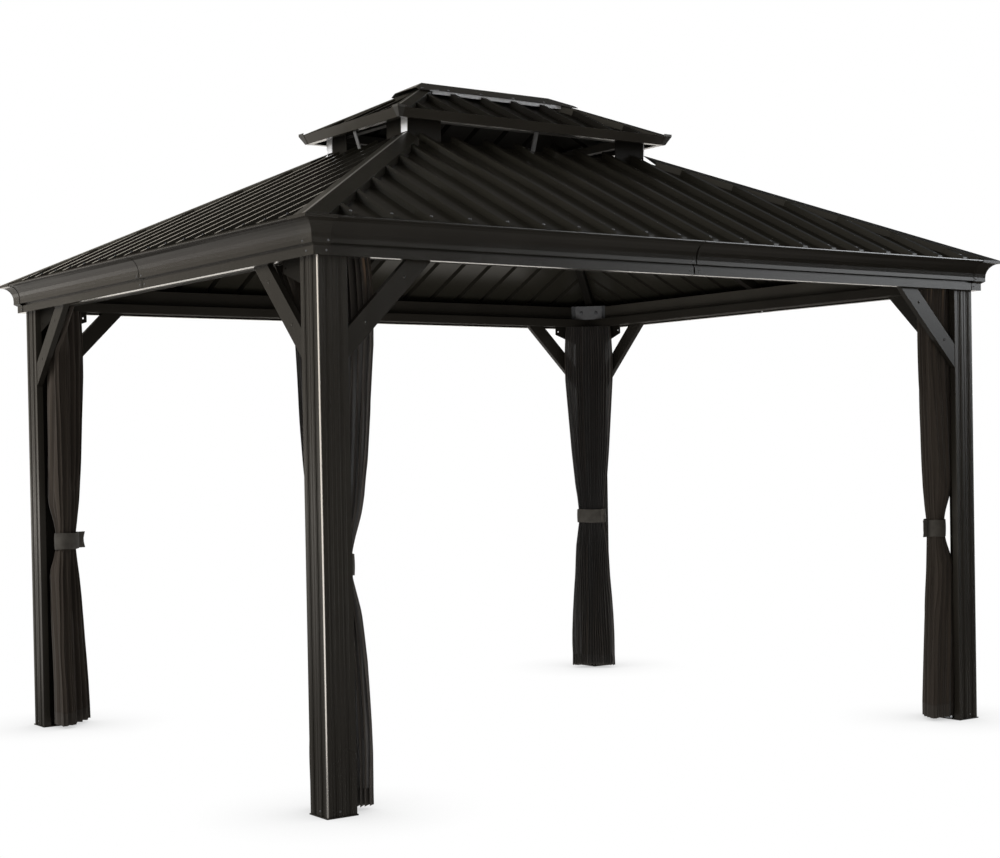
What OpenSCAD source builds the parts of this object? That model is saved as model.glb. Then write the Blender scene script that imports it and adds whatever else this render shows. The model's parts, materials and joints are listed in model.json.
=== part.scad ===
// Hardtop gazebo: fluted corner posts, a ring beam with a crown cornice,
// a ribbed hip roof and a raised vent roof over it, with gathered corner nets.
// Millimetres, +Z up, origin on the ground under the middle of the roof.
// X runs along the long front side, and -Y is the front.

/* [Plan] */
// Length over the posts, along the front
span_x = 3410; // [3000:10:4000]
// Depth over the posts
span_y = 2786; // [2500:10:3400]
// Height of the beams' underside above the ground
beam_z = 1958; // [1850:1:2300]

/* [Posts] */
// Width of each outer face of a post
post_w = 120; // [110:1:140]
// Depth of each leg of the post's angle section
post_leg = 30; // [24:1:36]
// Radius of the post's outer corner
post_r = 6; // [3:0.5:10]
// Width of a post's two main flutes
flute_w = 10; // [6:0.5:14]
// Depth of the main flutes
flute_d = 4; // [2:0.5:6]
// Distance of the main flutes from the middle of the face
flute_off = 27; // [20:1:32]
// Width of the fine grooves
fine_w = 3; // [2:0.5:5]
// Depth of the fine grooves
fine_d = 2; // [1:0.5:3]

/* [Feet] */
// Thickness of a base plate
plate_t = 5; // [4:0.5:8]
// How far a base plate stands proud of the post's outer faces
plate_out = 3; // [1:0.5:6]
// Diameter of an anchor hole
anchor_d = 11; // [9:0.5:14]
// Distance between the two anchor holes of a plate
anchor_gap = 46; // [40:1:50]
// Height of the lugs that hold a post on its plate
lug_h = 40; // [30:1:60]
// Thickness of a lug
lug_t = 3; // [2:0.5:5]

/* [Beams] */
// Width of the ring beam
beam_w = 60; // [50:1:80]
// Height of the ring beam
beam_h = 112; // [100:1:150]
// Wall of the ring beam
beam_wall = 3; // [2:0.5:5]
// Width of the two-track curtain rail
rail_w = 36; // [30:1:44]
// Height of the curtain rail
rail_h = 41; // [34:1:50]
// Wall of the curtain rail
rail_wall = 3; // [2:0.5:4]
// Width of a track's slot
rail_slot = 7; // [5:0.5:9]

/* [Braces] */
// Height on the post where a brace's lower edge meets it, below the beam
brace_leg = 358; // [300:1:450]
// Width of a brace
brace_w = 74; // [60:1:90]
// Thickness of a brace
brace_t = 26; // [20:1:28]
// Wall of a brace's tube
brace_wall = 3; // [2:0.5:4]
// Length of a gusset plate along the beam
gusset_leg = 170; // [130:1:190]
// Height of a gusset plate on the post
gusset_h = 105; // [80:1:130]
// Height of a gusset plate's free end
gusset_end = 45; // [35:1:55]
// Thickness of a gusset plate
gusset_t = 4; // [3:0.5:6]
// Diameter of a gusset's holes
gusset_d = 9; // [7:0.5:11]
// Width of the diagonal corner plate inside the ring beam
tie_plate_w = 155; // [130:1:190]
// Height of the diagonal corner plate
tie_plate_h = 76; // [60:1:90]
// Thickness of the diagonal corner plate
tie_plate_t = 3; // [2:0.5:5]

/* [Cornice] */
// Overall height of the cornice
cornice_h = 131; // [125:1:145]
// How far the cornice's foot hangs below the beams
cornice_drop = 8; // [2:0.5:12]
// Overhang of the fascia from the posts' outer faces
fascia_out = 27; // [20:1:32]
// Height of the flat fascia
fascia_h = 32; // [28:1:36]
// Depth of the groove above the fascia
groove_d = 6; // [3:0.5:9]
// Height of the groove
groove_h = 9; // [6:0.5:12]
// Step of the bead beyond the fascia
bead_out = 14; // [8:1:18]
// Height of the bead
bead_h = 16; // [12:1:20]
// Overhang of the top lip from the posts' outer faces
lip_out = 94; // [86:1:110]
// Height of the vertical lip
lip_h = 10; // [7:0.5:14]
// Step from the cove to the lip
lip_step = 5; // [2:0.5:8]
// Sheet thickness of the cornice
cornice_t = 3; // [2:0.5:4]
// Gap between the two halves of a side
seam_gap = 6; // [2:0.5:8]
// Reach of a corner cover along each side
cover_l = 60; // [45:1:90]
// Sheet thickness of a corner cover
cover_t = 1.5; // [1:0.25:2]

/* [Roof] */
// Pitch of both roofs
roof_pitch = 25.7; // [22:0.1:28]
// Distance between the roof's ribs
rib_step = 167; // [140:1:200]
// Height of a rib
rib_h = 24; // [16:1:30]
// Width of a rib at its top
rib_top = 24; // [18:1:34]
// Width of a rib at its foot
rib_foot = 36; // [28:1:46]
// Distance of the sheets' lower edges behind the cornice lip
sheet_in = 30; // [26:1:40]
// Thickness of the roof sheet
sheet_t = 3; // [2:0.5:4]
// Thickness of the hip and ridge caps
cap_t = 2.5; // [2:0.5:4]
// Reach of a hip cap from the hip, in plan
cap_w = 62; // [50:1:80]
// Width of the rafters
rafter_w = 40; // [30:1:50]
// Depth of the rafters
rafter_d = 45; // [36:1:55]

/* [Vent roof] */
// Width of the vent frame, from front to back
vent_w = 684; // [600:4:760]
// Overhang of the vent roof beyond the vent frame at its ends
vent_over_x = 101; // [80:1:120]
// Overhang of the vent roof beyond the vent frame at front and back
vent_over_y = 84; // [65:1:100]
// Height of the vent roof's eaves over the main roof at the vent frame
vent_gap = 84; // [70:1:120]
// Height of the vent roof's fascia
vent_fascia_h = 38; // [34:1:50]
// How far the vent fascia leans in at its foot
vent_fascia_lean = 22; // [10:1:26]
// Distance of the vent sheets' lower edges behind the vent fascia
vent_sheet_in = 24; // [20:1:30]
// Width of the return under the vent fascia
vent_return = 26; // [18:1:34]
// Section of the vent frame's bars
vent_bar = 36; // [28:1:44]
// Reach of the vent fascia's corner covers
vent_cover_l = 44; // [34:1:60]
// How far those covers stand above the fascia
vent_cover_up = 10; // [4:1:16]
// Length of each wing of a vent leg
leg_wing = 170; // [120:2:200]
// Thickness of a vent leg
leg_t = 4; // [3:0.5:6]
// Width of a mid-side strap
strap_w = 22; // [16:1:30]
// Thickness of the straps
strap_t = 4; // [3:0.5:6]
// How far inward a mid-side strap leans to its foot
strap_in = 30; // [20:1:40]
// Length of a mid-side strap's foot
strap_foot = 30; // [20:1:40]
// Width of a corner strap
corner_strap_w = 46; // [34:1:60]
// Reach of a vent roof hip cap from the hip, in plan
vent_cap_w = 40; // [32:1:60]
// Reach of the ridge cap's wings, in plan
ridge_cap_w = 98; // [80:1:120]
// Reach of the ridge cap's ends down the hips, in plan
ridge_end = 116; // [100:1:140]
// Lift of the ridge cap above the vent roof's crest
ridge_lift = 5; // [3:0.5:10]
// How much longer the ridge cap's ridge is at each end than the vent roof's
ridge_long = 28; // [10:1:40]
// Thickness of the closure strip under the ridge cap
closure_t = 6; // [4:0.5:10]
// Depth of the closure strip below the crest
closure_h = 12; // [6:1:20]

/* [Nets] */
// Height of the nets' hems above the ground
net_foot_z = 14; // [10:1:40]
// Reach of the nets from the posts' outer corners, along the diagonal
net_reach = 252; // [240:1:280]
// Least clearance between a net and the inside of the posts' legs
net_room = 10; // [4:1:16]
// Depth of a gathered net from its widest line towards the room
net_deep = 45; // [36:1:52]
// Depth of a gathered net from its widest line towards its post
net_back = 115; // [90:1:130]
// That depth at its tie band
net_waist_back = 48; // [40:1:60]
// Half width of a gathered net at its rail
net_top_w = 138; // [110:1:142]
// Half width of a gathered net at its tie band
net_waist_w = 77; // [60:1:95]
// Half width of a gathered net at its hem
net_hem_w = 130; // [100:1:138]
// How much further back in the corner the tie band holds a net
net_waist_in = 20; // [0:1:30]
// Share of its size that a net's folds cut in
net_fold = 0.12; // [0:0.01:0.2]
// Height of a net's gathered head
net_head_h = 120; // [80:5:200]
// Reach of a net's head from the post's outer corner along the shorter side's rail
net_wing = 440; // [340:5:460]
// Height of that spread part of the head
net_wing_h = 340; // [280:5:420]
// Height of a net's straight hem
net_hem_h = 75; // [50:5:120]
// Height of the middle of the tie bands
tie_z = 872; // [700:2:1100]
// Height of a tie band
tie_h = 76; // [50:1:100]
// Thickness of a tie band
tie_t = 5; // [3:0.5:8]

/* [Hidden] */
CORNERS = ["front_left", "front_right", "back_right", "back_left"];
SIDES = ["front", "right", "back", "left"];

// Clearance between pieces that meet without being one piece
clear = 0.3;
// Larger than the whole object, for cutting shapes
big = 6000;
frame_colour = [0.10, 0.09, 0.08];
roof_colour = [0.07, 0.07, 0.06];
bare_colour = [0.55, 0.57, 0.60];
net_colour = [0.13, 0.11, 0.09];

half_x = span_x / 2;
half_y = span_y / 2;
beam_top = beam_z + beam_h;
cornice_z = beam_z - cornice_drop;
lip_z = cornice_z + cornice_h;

// Depth of the roof's make-up under the crest plane, which runs over the caps
rib_crest = -cap_t;
sheet_top = -cap_t - rib_h;
sheet_under = sheet_top - sheet_t;

// Half sizes of the rectangle of the cornice lip
eave_x = half_x + lip_out;
eave_y = half_y + lip_out;

// Half sizes of the frame round the vent opening, and of the vent roof's eaves
frame_y = vent_w / 2;
frame_run = eave_y - frame_y;
frame_x = eave_x - frame_run;
vent_half_x = frame_x + vent_over_x;
vent_half_y = frame_y + vent_over_y;
vent_z = lip_z + frame_run * tan(roof_pitch) + vent_gap;

function along(i) = i % 2 == 0 ? half_x : half_y;
function across(i) = i % 2 == 0 ? half_y : half_x;
function slope_z(run, depth) = run * tan(roof_pitch) + depth / cos(roof_pitch);

// Side frame: x along the side, y inward from the given half size, z up
module side(i, half_across) {
    rotate([0, 0, 90 * i]) translate([0, -half_across, 0]) children();
}

// Corner frame of a rectangle of half sizes: x and y inward from one of its corners
module corner_of(k, hx, hy) {
    sx = k == 0 || k == 3 ? -1 : 1;
    sy = k < 2 ? -1 : 1;
    translate([sx * hx, sy * hy, 0]) rotate([0, 0, 90 * k]) children();
}

// Corner frame of a post, from its outer corner
module corner(k) {
    corner_of(k, half_x, half_y) children();
}

// A profile of inward distance and height, run along x from x0 to x1
module run_along(x0, x1) {
    translate([x0, 0, 0]) rotate([90, 0, 90]) linear_extrude(x1 - x0) children();
}

// Everything under the four roof planes at a depth from the crest plane
module under_roof(hx, hy, z, depth) {
    intersection() {
        under_plane(0, hy, z, depth);
        under_plane(1, hx, z, depth);
        under_plane(2, hy, z, depth);
        under_plane(3, hx, z, depth);
    }
}

module under_plane(i, half, z, depth) {
    side(i, half) translate([0, 0, z]) rotate([roof_pitch, 0, 0])
        translate([-big, -big, depth - big]) cube([2 * big, 2 * big, big]);
}

// A layer of the roof between two depths
module roof_layer(hx, hy, z, low, high) {
    difference() {
        under_roof(hx, hy, z, high);
        under_roof(hx, hy, z, low);
    }
}

// Post section: an angle with fluted outer faces and a rounded outer corner
module post_section() {
    difference() {
        square(post_w);
        translate([post_leg, post_leg]) square(post_w);
        difference() {
            square(post_r);
            translate([post_r, post_r]) circle(post_r, $fn = 48);
        }
        face_grooves();
        mirror([1, -1]) face_grooves();
    }
}

module face_grooves() {
    middle = post_w / 2;
    for (s = [-1, 1]) {
        translate([middle + s * flute_off - flute_w / 2, -1]) square([flute_w, flute_d + 1]);
        translate([middle + s * (flute_off + flute_w) - fine_w / 2, -1]) square([fine_w, fine_d + 1]);
        translate([middle + s * (flute_off - flute_w) - fine_w / 2, -1]) square([fine_w, fine_d + 1]);
    }
    translate([middle - fine_w / 2, -1]) square([fine_w, fine_d + 1]);
}

module post(k) {
    color(frame_colour) corner(k) translate([0, 0, plate_t])
        linear_extrude(beam_z - plate_t) post_section();
}

// Base plate with two anchor holes in line and two lugs inside the post's legs
module base_plate(k) {
    corner(k) {
        hole_at = post_leg + lug_t + (post_w - post_leg - lug_t) / 2;
        difference() {
            translate([-plate_out, -plate_out, 0])
                cube([post_w + 2 * plate_out, post_w + 2 * plate_out, plate_t]);
            for (s = [-1, 1])
                translate([hole_at, hole_at, -1])
                    rotate([0, 0, -90 * k]) translate([s * anchor_gap / 2, 0, 0])
                        cylinder(h = plate_t + 2, d = anchor_d, $fn = 48);
        }
        lug_l = (post_w - post_leg) / 2;
        lug_in = post_leg + clear;
        translate([post_w - lug_l, lug_in, plate_t - 1]) cube([lug_l, lug_t, lug_h + 1]);
        translate([lug_in, post_w - lug_l, plate_t - 1]) cube([lug_t, lug_l, lug_h + 1]);
    }
}

module base_plates() {
    color(frame_colour) for (k = [0:3]) base_plate(k);
}

// Ring beam: one mitred box section on each side
module beam(i) {
    color(frame_colour) side(i, across(i)) intersection() {
        run_along(-along(i), along(i)) translate([0, beam_z]) difference() {
            square([beam_w, beam_h]);
            translate([beam_wall, beam_wall])
                square([beam_w - 2 * beam_wall, beam_h - 2 * beam_wall]);
        }
        mitred_plan(along(i), 0, beam_w);
    }
}

// Plan of a side between two 45 degree mitres, from y0 to y1 inward
module mitred_plan(half, y0, y1) {
    reach = half - clear;
    linear_extrude(big) polygon([
        [-(reach - y0), y0], [reach - y0, y0], [reach - y1, y1], [-(reach - y1), y1]
    ]);
}

// Two-track rail under the inner face of each beam, open at the foot
module curtain_rails() {
    color(frame_colour) for (i = [0:3])
        side(i, across(i)) intersection() {
            run_along(-along(i), along(i)) translate([beam_w, beam_z]) rail_section();
            mitred_plan(along(i), beam_w, beam_w + rail_w);
        }
}

module rail_section() {
    track_w = (rail_w - 3 * rail_wall) / 2;
    difference() {
        square([rail_w, rail_h]);
        for (n = [0, 1])
            translate([rail_wall + n * (track_w + rail_wall), rail_wall]) {
                square([track_w, rail_h - 2 * rail_wall]);
                translate([(track_w - rail_slot) / 2, -rail_wall - 1]) square([rail_slot, rail_wall + 2]);
            }
    }
}

// Knee brace: a 45 degree tube from the edge of a post's leg to the beam
module brace() {
    inset = (post_leg - brace_t) / 2;
    cut = brace_w * sqrt(2);
    translate([post_w, inset, beam_z]) rotate([90, 0, 0]) translate([0, 0, -brace_t]) difference() {
        linear_extrude(brace_t)
            polygon([[0, -brace_leg], [brace_leg, 0], [brace_leg - cut, 0], [0, cut - brace_leg]]);
        translate([0, 0, brace_wall]) linear_extrude(brace_t - 2 * brace_wall) {
            wall = brace_wall * sqrt(2);
            polygon([[-1, wall - brace_leg - 1], [brace_leg - wall + 1, 1],
                     [brace_leg - cut + wall + 1, 1], [-1, cut - brace_leg - wall - 1]]);
        }
    }
}

module braces(i) {
    color(frame_colour) {
        corner(i) brace();
        corner((i + 1) % 4) mirror([1, -1, 0]) brace();
    }
}

// Gusset: a tapering plate with two holes, from the inside of a post's leg along the beam
module gusset() {
    rim = 2 * gusset_d;
    translate([post_w, post_leg - gusset_t, beam_z]) rotate([90, 0, 0]) translate([0, 0, -gusset_t])
        difference() {
            linear_extrude(gusset_t)
                polygon([[0, 0], [0, -gusset_h], [gusset_leg, -gusset_end], [gusset_leg, 0]]);
            for (p = [[rim, -gusset_h + 2 * rim], [gusset_leg - rim, -gusset_end + rim]])
                translate([p[0], p[1], -1]) cylinder(h = gusset_t + 2, d = gusset_d, $fn = 32);
        }
}

// The front opening has no gussets, and the other three sides have one at each end
module gusset_plates() {
    color(frame_colour) for (i = [1:3]) {
        corner(i) gusset();
        corner((i + 1) % 4) mirror([1, -1, 0]) gusset();
    }
}

// Diagonal plate across the inner corner of the ring beam, above the rails
module corner_plates() {
    leg = tie_plate_w / sqrt(2);
    wing = leg / 4;
    t = tie_plate_t;
    turn = t * tan(22.5);
    color(bare_colour) for (k = [0:3]) corner(k)
        translate([beam_w, beam_w, beam_z + rail_h + clear]) linear_extrude(tie_plate_h) polygon([
            [leg, 0], [leg + wing, 0], [leg + wing, t], [leg + turn, t],
            [t, leg + turn], [t, leg + wing], [0, leg + wing], [0, leg]
        ]);
}

// Cornice face from the foot of the fascia to the top of the lip, as overhang
// and height; the corner covers leave out the groove
cove_out = fascia_out + bead_out;
cove_z = fascia_h + groove_h + bead_h;
cove_w = lip_out - lip_step - cove_out;
cove_h = cornice_h - lip_h - cove_z;
function cove_at(a) = [cove_out + cove_w * (1 - cos(a)), cove_z + cove_h * sin(a)];
function cove_path() = [for (a = [0:15:90]) cove_at(a)];

function cornice_face(groove) = concat(
    [[fascia_out, 0], [fascia_out, fascia_h]],
    groove ? [[fascia_out - groove_d, fascia_h], [fascia_out - groove_d, fascia_h + groove_h]] : [],
    [[fascia_out + bead_out, fascia_h + groove_h]],
    cove_path(),
    [[lip_out, cornice_h - lip_h], [lip_out, cornice_h]]
);

// A path moved to its right by a distance, with mitred bends
function right_of(v) = [v[1], -v[0]] / norm(v);
function moved_path(path, d) = [
    for (n = [0:len(path) - 1])
        let (into = n == 0 ? path[1] - path[0] : path[n] - path[n - 1])
        let (out = n == len(path) - 1 ? into : path[n + 1] - path[n])
        let (a = right_of(into), b = right_of(out))
        path[n] + d * (a + b) / (1 + a * b)
];
function reversed(path) = [for (n = [len(path) - 1:-1:0]) path[n]];

// Bent-sheet section with a return at its foot and a shelf under the roof sheet
module cornice_section() {
    face = cornice_face(true);
    shelf = cornice_h + slope_z(sheet_in, sheet_under);
    shelf_out = cove_at(asin((shelf - cornice_t - cove_z) / cove_h))[0] - cornice_t / 2;
    mirror([1, 0]) {
        polygon(concat(face, reversed(moved_path(face, -cornice_t))));
        square([fascia_out, cornice_t]);
        translate([0, shelf - cornice_t]) square([shelf_out, cornice_t]);
    }
}

module cornice_half(i) {
    half = along(i);
    side(i, across(i)) intersection() {
        run_along(seam_gap / 2, half + lip_out) translate([0, cornice_z]) cornice_section();
        mitred_plan(half, -lip_out, 0);
    }
}

module cornice(i) {
    color(frame_colour) {
        cornice_half(i);
        rotate([0, 0, 90 * i]) mirror([1, 0, 0]) rotate([0, 0, -90 * i]) cornice_half(i);
    }
}

// Solid behind a face of overhangs and heights, on both sides of a corner
module corner_block(face, low, back) {
    last = len(face) - 1;
    profile = concat([[-back, face[0][1]]], face, [[-back, face[last][1]]]);
    intersection() {
        corner_prism(profile, low, back);
        mirror([1, -1, 0]) corner_prism(profile, low, back);
    }
}

module corner_prism(profile, low, back) {
    run_along(low, back) mirror([1, 0]) polygon(profile);
}

// Folded cover over a mitre: a sheet outside a face, with a reach along both sides
module corner_cover(face, low, reach, back) {
    height = face[len(face) - 1][1] - face[0][1];
    intersection() {
        difference() {
            corner_block(moved_path(face, clear + cover_t), low, back);
            corner_block(moved_path(face, clear), low, back);
        }
        translate([low, low, face[0][1]]) cube([reach - low, reach - low, height]);
    }
}

// Smooth folded covers over the mitres of the cornice
module cornice_corners() {
    low = -lip_out - 2 * cover_t;
    color(frame_colour) for (k = [0:3]) corner(k) translate([0, 0, cornice_z])
        corner_cover(cornice_face(false), low, cover_l - fascia_out, cover_l);
}

// Ribbed sheet profile over a half width, with its ribs folded from the sheet
function rib_places(half) =
    let (n = floor(half / rib_step + 0.5))
    [for (k = [-n:n - 1]) rib_step * (k + 0.5)];

module sheet_section(half, open) {
    ribs = rib_places(half);
    top = [for (x = ribs) for (p = [[-rib_foot / 2, 0], [-rib_top / 2, rib_h],
                                    [rib_top / 2, rib_h], [rib_foot / 2, 0]])
           [x + p[0], sheet_t + p[1]]];
    inner = rib_foot / 2 - sheet_t;
    inner_top = rib_top / 2 - sheet_t;
    under = [for (n = [len(ribs) - 1:-1:0]) for (p = [[inner, 0], [inner_top, rib_h],
                                                       [-inner_top, rib_h], [-inner, 0]])
             [ribs[n] + p[0], p[1]]];
    polygon(concat([[-half - rib_step, 0], [-half - rib_step, sheet_t]], top,
                   [[half + rib_step, sheet_t], [half + rib_step, 0]], open ? under : []));
}

// A section of width and height, run up a slope from the eaves line at a height
module run_up(z, length) {
    translate([0, 0, z]) rotate([roof_pitch, 0, 0]) translate([0, length, 0])
        rotate([90, 0, 0]) linear_extrude(length) children();
}

// One roof slope: eaves half length, run in plan from y0 to y1, height of the eaves;
// its ribs are closed at their lower ends
module slope(half, z, y0, y1) {
    length = (y1 + rib_step) / cos(roof_pitch);
    closed = (y0 + sheet_t + rib_h) / cos(roof_pitch);
    reach = half - 1;
    intersection() {
        union() {
            run_up(z, length) translate([0, sheet_under]) sheet_section(half, true);
            run_up(z, closed) translate([0, sheet_under]) sheet_section(half, false);
        }
        linear_extrude(big) polygon([
            [-(reach - y0), y0], [reach - y0, y0], [reach - y1, y1], [-(reach - y1), y1]
        ]);
    }
}

module main_roof(i) {
    color(roof_colour) side(i, across(i) + lip_out)
        slope(along(i) + lip_out, lip_z, sheet_in, frame_run - clear);
}

module vent_roof(i) {
    half_along = i % 2 == 0 ? vent_half_x : vent_half_y;
    half_across = i % 2 == 0 ? vent_half_y : vent_half_x;
    run = vent_half_y - 3;
    color(roof_colour) side(i, half_across) slope(half_along, vent_z, vent_sheet_in, run);
}

// Plan strip along a hip, from one run to another
module hip_strip(hx, hy, k, run0, run1, width) {
    corner_of(k, hx, hy) linear_extrude(big) intersection() {
        rotate(45) translate([0, -width]) square([run1 * sqrt(2), 2 * width]);
        translate([run0, run0]) square(big);
        square(run1);
    }
}

// Rafters under the sheets, seated on the ring beam
module rafters_seated() {
    difference() {
        intersection() {
            roof_layer(eave_x, eave_y, lip_z, sheet_under - rafter_d, sheet_under);
            children();
        }
        translate([-half_x, -half_y, 0]) cube([span_x, span_y, beam_top]);
    }
}

module hip_rafters() {
    color(frame_colour) rafters_seated() for (k = [0:3])
        hip_strip(eave_x, eave_y, k, lip_out, frame_run - clear, rafter_w / 2);
}

module mid_rafters() {
    reach = frame_run - lip_out + leg_t - clear;
    color(frame_colour) rafters_seated() for (i = [0:3])
        side(i, across(i)) translate([-rafter_w / 2, 0, 0]) cube([rafter_w, reach, big]);
}

// Solid bars over the ribs of all four slopes, a little larger than the ribs
module rib_bars(hx, hy, z) {
    grow = 2 * clear;
    for (i = [0:3]) {
        half_along = i % 2 == 0 ? hx : hy;
        half_across = i % 2 == 0 ? hy : hx;
        side(i, half_across) run_up(z, half_across / cos(roof_pitch))
            for (x = rib_places(half_along)) translate([x, sheet_top - grow]) polygon([
                [-rib_foot / 2 - grow, 0], [-rib_top / 2 - grow, rib_h + grow],
                [rib_top / 2 + grow, rib_h + grow], [rib_foot / 2 + grow, 0]
            ]);
    }
}

// Caps over the hips: each lies on the ribs, and its edges turn down to the sheet between them
module caps_over_hips(hx, hy, z, lip, sheet_edge, top, width) {
    intersection() {
        roof_layer(hx, hy, z, rib_crest, 0);
        for (k = [0:3]) hip_strip(hx, hy, k, lip, top, width);
    }
    difference() {
        intersection() {
            roof_layer(hx, hy, z, sheet_top + clear, -cap_t / 2);
            for (k = [0:3]) difference() {
                hip_strip(hx, hy, k, sheet_edge, top, width);
                hip_strip(hx, hy, k, 0, big, width - cap_t);
            }
        }
        rib_bars(hx, hy, z);
    }
}

module hip_caps() {
    color(roof_colour)
        caps_over_hips(eave_x, eave_y, lip_z, cornice_t + clear, sheet_in, frame_run - clear, cap_w);
}

frame_top = lip_z + slope_z(frame_run, sheet_under);
vent_frame_top = vent_z + slope_z(min(vent_over_x, vent_over_y), sheet_under);

// Four mitred bars round the vent, with their tops at a height
module frame_bars(top) {
    for (i = [0:3]) {
        half_along = (i % 2 == 0 ? frame_x : frame_y) - leg_t;
        half_across = (i % 2 == 0 ? frame_y : frame_x) - leg_t;
        side(i, half_across) intersection() {
            translate([-half_along, 0, top - vent_bar]) cube([2 * half_along, vent_bar, vent_bar]);
            mitred_plan(half_along, 0, vent_bar);
        }
    }
}

// Frame round the opening at the top of the main roof
module vent_frame() {
    color(frame_colour) frame_bars(frame_top);
}

// Frame under the vent roof
module vent_roof_frame() {
    color(frame_colour) frame_bars(vent_frame_top);
}

// Angle legs from the opening's frame to the frame under the vent roof
module vent_legs() {
    foot = frame_top - vent_bar;
    color(frame_colour) for (k = [0:3]) corner_of(k, frame_x, frame_y) translate([0, 0, foot])
        linear_extrude(vent_frame_top - foot) polygon([
            [0, 0], [leg_wing, 0], [leg_wing, leg_t], [leg_t, leg_t], [leg_t, leg_wing], [0, leg_wing]
        ]);
}

// Fascia of the vent roof: a leaning band with a return and a shelf for the sheet
module vent_fascia_section() {
    t = cap_t;
    shelf = slope_z(vent_sheet_in, sheet_under);
    lean = vent_fascia_lean / vent_fascia_h;
    polygon([[0, 0], [t, 0], [t - shelf * lean, shelf], [vent_sheet_in + t, shelf],
             [vent_sheet_in + t, shelf - t], [t - (shelf - t) * lean, shelf - t],
             [vent_fascia_lean + t, t - vent_fascia_h], [vent_fascia_lean + vent_return, t - vent_fascia_h],
             [vent_fascia_lean + vent_return, -vent_fascia_h], [vent_fascia_lean, -vent_fascia_h]]);
}

module vent_fascia() {
    color(frame_colour) for (i = [0:3]) {
        half_along = i % 2 == 0 ? vent_half_x : vent_half_y;
        half_across = i % 2 == 0 ? vent_half_y : vent_half_x;
        side(i, half_across) intersection() {
            run_along(-half_along, half_along) translate([0, vent_z]) vent_fascia_section();
            mitred_plan(half_along, 0, vent_fascia_lean + vent_return);
        }
    }
    color(frame_colour) for (k = [0:3]) corner_of(k, vent_half_x, vent_half_y) translate([0, 0, vent_z])
        corner_cover([[-vent_fascia_lean, -vent_fascia_h], [0, 0], [0, vent_cover_up]], -2 * cover_t,
                     vent_cover_l, vent_cover_l + vent_fascia_lean);
}

// Straps at mid side, from the main roof up to the return of the vent fascia, and
// flat straps over the end wings of the legs, from the hip caps up
module vent_straps() {
    head_in = vent_fascia_lean + vent_return - strap_t * 2;
    head_z = vent_z - vent_fascia_h;
    foot_y = head_in + strap_in;
    foot_end = foot_y + strap_foot;
    color(bare_colour) for (i = [0:3]) {
        half_across = i % 2 == 0 ? vent_half_y : vent_half_x;
        main_across = i % 2 == 0 ? eave_y : eave_x;
        foot_z = lip_z + slope_z(main_across - half_across + foot_y, sheet_top);
        end_z = foot_z + strap_foot * tan(roof_pitch);
        side(i, half_across) translate([-strap_w / 2, 0, 0]) rotate([90, 0, 90]) linear_extrude(strap_w)
            polygon([[head_in, head_z], [head_in + strap_t, head_z],
                     [foot_y + strap_t, foot_z + 1.5 * strap_t], [foot_end, end_z + strap_t],
                     [foot_end, end_z], [foot_y, foot_z]]);
    }
    low = lip_z + slope_z(frame_run, 0) + clear;
    color(bare_colour) for (sx = [-1, 1]) for (sy = [-1, 1])
        translate([sx * (frame_x + clear + strap_t / 2), sy * (frame_y - corner_strap_w / 2), low])
            translate([-strap_t / 2, -corner_strap_w / 2, 0])
                cube([strap_t, corner_strap_w, vent_frame_top - low]);
}

module vent_hip_caps() {
    color(roof_colour) caps_over_hips(vent_half_x, vent_half_y, vent_z, cap_t + clear, vent_sheet_in,
                                      vent_half_y - clear, vent_cap_w);
}

ridge_half = vent_half_x - vent_half_y;

// Hipped cap over the ridge, lifted off the vent roof's hip caps, with ends down the hips
module ridge_cap() {
    reach = ridge_half + ridge_end;
    spread = ridge_half + ridge_end / 2;
    edge = [[-reach, -ridge_end], [-spread, -ridge_end], [-ridge_half, -ridge_cap_w],
            [ridge_half, -ridge_cap_w], [spread, -ridge_end], [reach, -ridge_end]];
    color(roof_colour) intersection() {
        roof_layer(vent_half_x + ridge_long, vent_half_y, vent_z + ridge_lift, 0, cap_t);
        linear_extrude(big) polygon(concat(edge, -edge));
    }
}

// Closure strips over the ribs under the long edges of the ridge cap, between the hip caps
module ridge_closure() {
    middle = ridge_cap_w - closure_t;
    reach = ridge_half + middle - closure_t / 2 - vent_cap_w * sqrt(2) - clear;
    lifted = ridge_lift * cos(roof_pitch) - clear;
    color(bare_colour) difference() {
        intersection() {
            roof_layer(vent_half_x, vent_half_y, vent_z, -closure_h, lifted);
            for (s = [-1, 1]) translate([-reach, s * middle - closure_t / 2, 0])
                cube([2 * reach, closure_t, big]);
        }
        rib_bars(vent_half_x, vent_half_y, vent_z);
    }
}

// Gathered net: spread across the corner at the rail, drawn in at its tie and loose at its hem.
// Each station gives height, its two depths, half width, reach and the share of its folds.
waist_low = tie_z - tie_h / 2 - clear;
waist_high = tie_z + tie_h / 2 + clear;
waist_reach = net_reach - net_waist_in;
waist_deep = net_deep - clear - tie_t / 2;
waist_back = net_waist_back - clear - tie_t / 2;
net_head = beam_z - clear;
net_stations = [
    [net_foot_z, net_deep, net_back, net_hem_w, net_reach, net_fold],
    [net_foot_z + net_hem_h, net_deep, net_back, net_hem_w, net_reach, net_fold],
    [(net_foot_z + waist_low) / 2, net_deep, net_back, (net_hem_w + net_waist_w) / 2, net_reach, net_fold],
    [waist_low, waist_deep, waist_back, net_waist_w, waist_reach, 0],
    [waist_high, waist_deep, waist_back, net_waist_w, waist_reach, 0],
    [(net_head + waist_high) / 2, net_deep, net_back, (net_top_w + net_waist_w) / 2, net_reach, net_fold],
    [net_head - net_head_h, net_deep, net_back, net_top_w, net_reach, net_fold],
    [net_head, net_deep, net_back, net_top_w, net_reach, net_fold],
];
net_sides = 40;
net_folds = 8;

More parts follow.
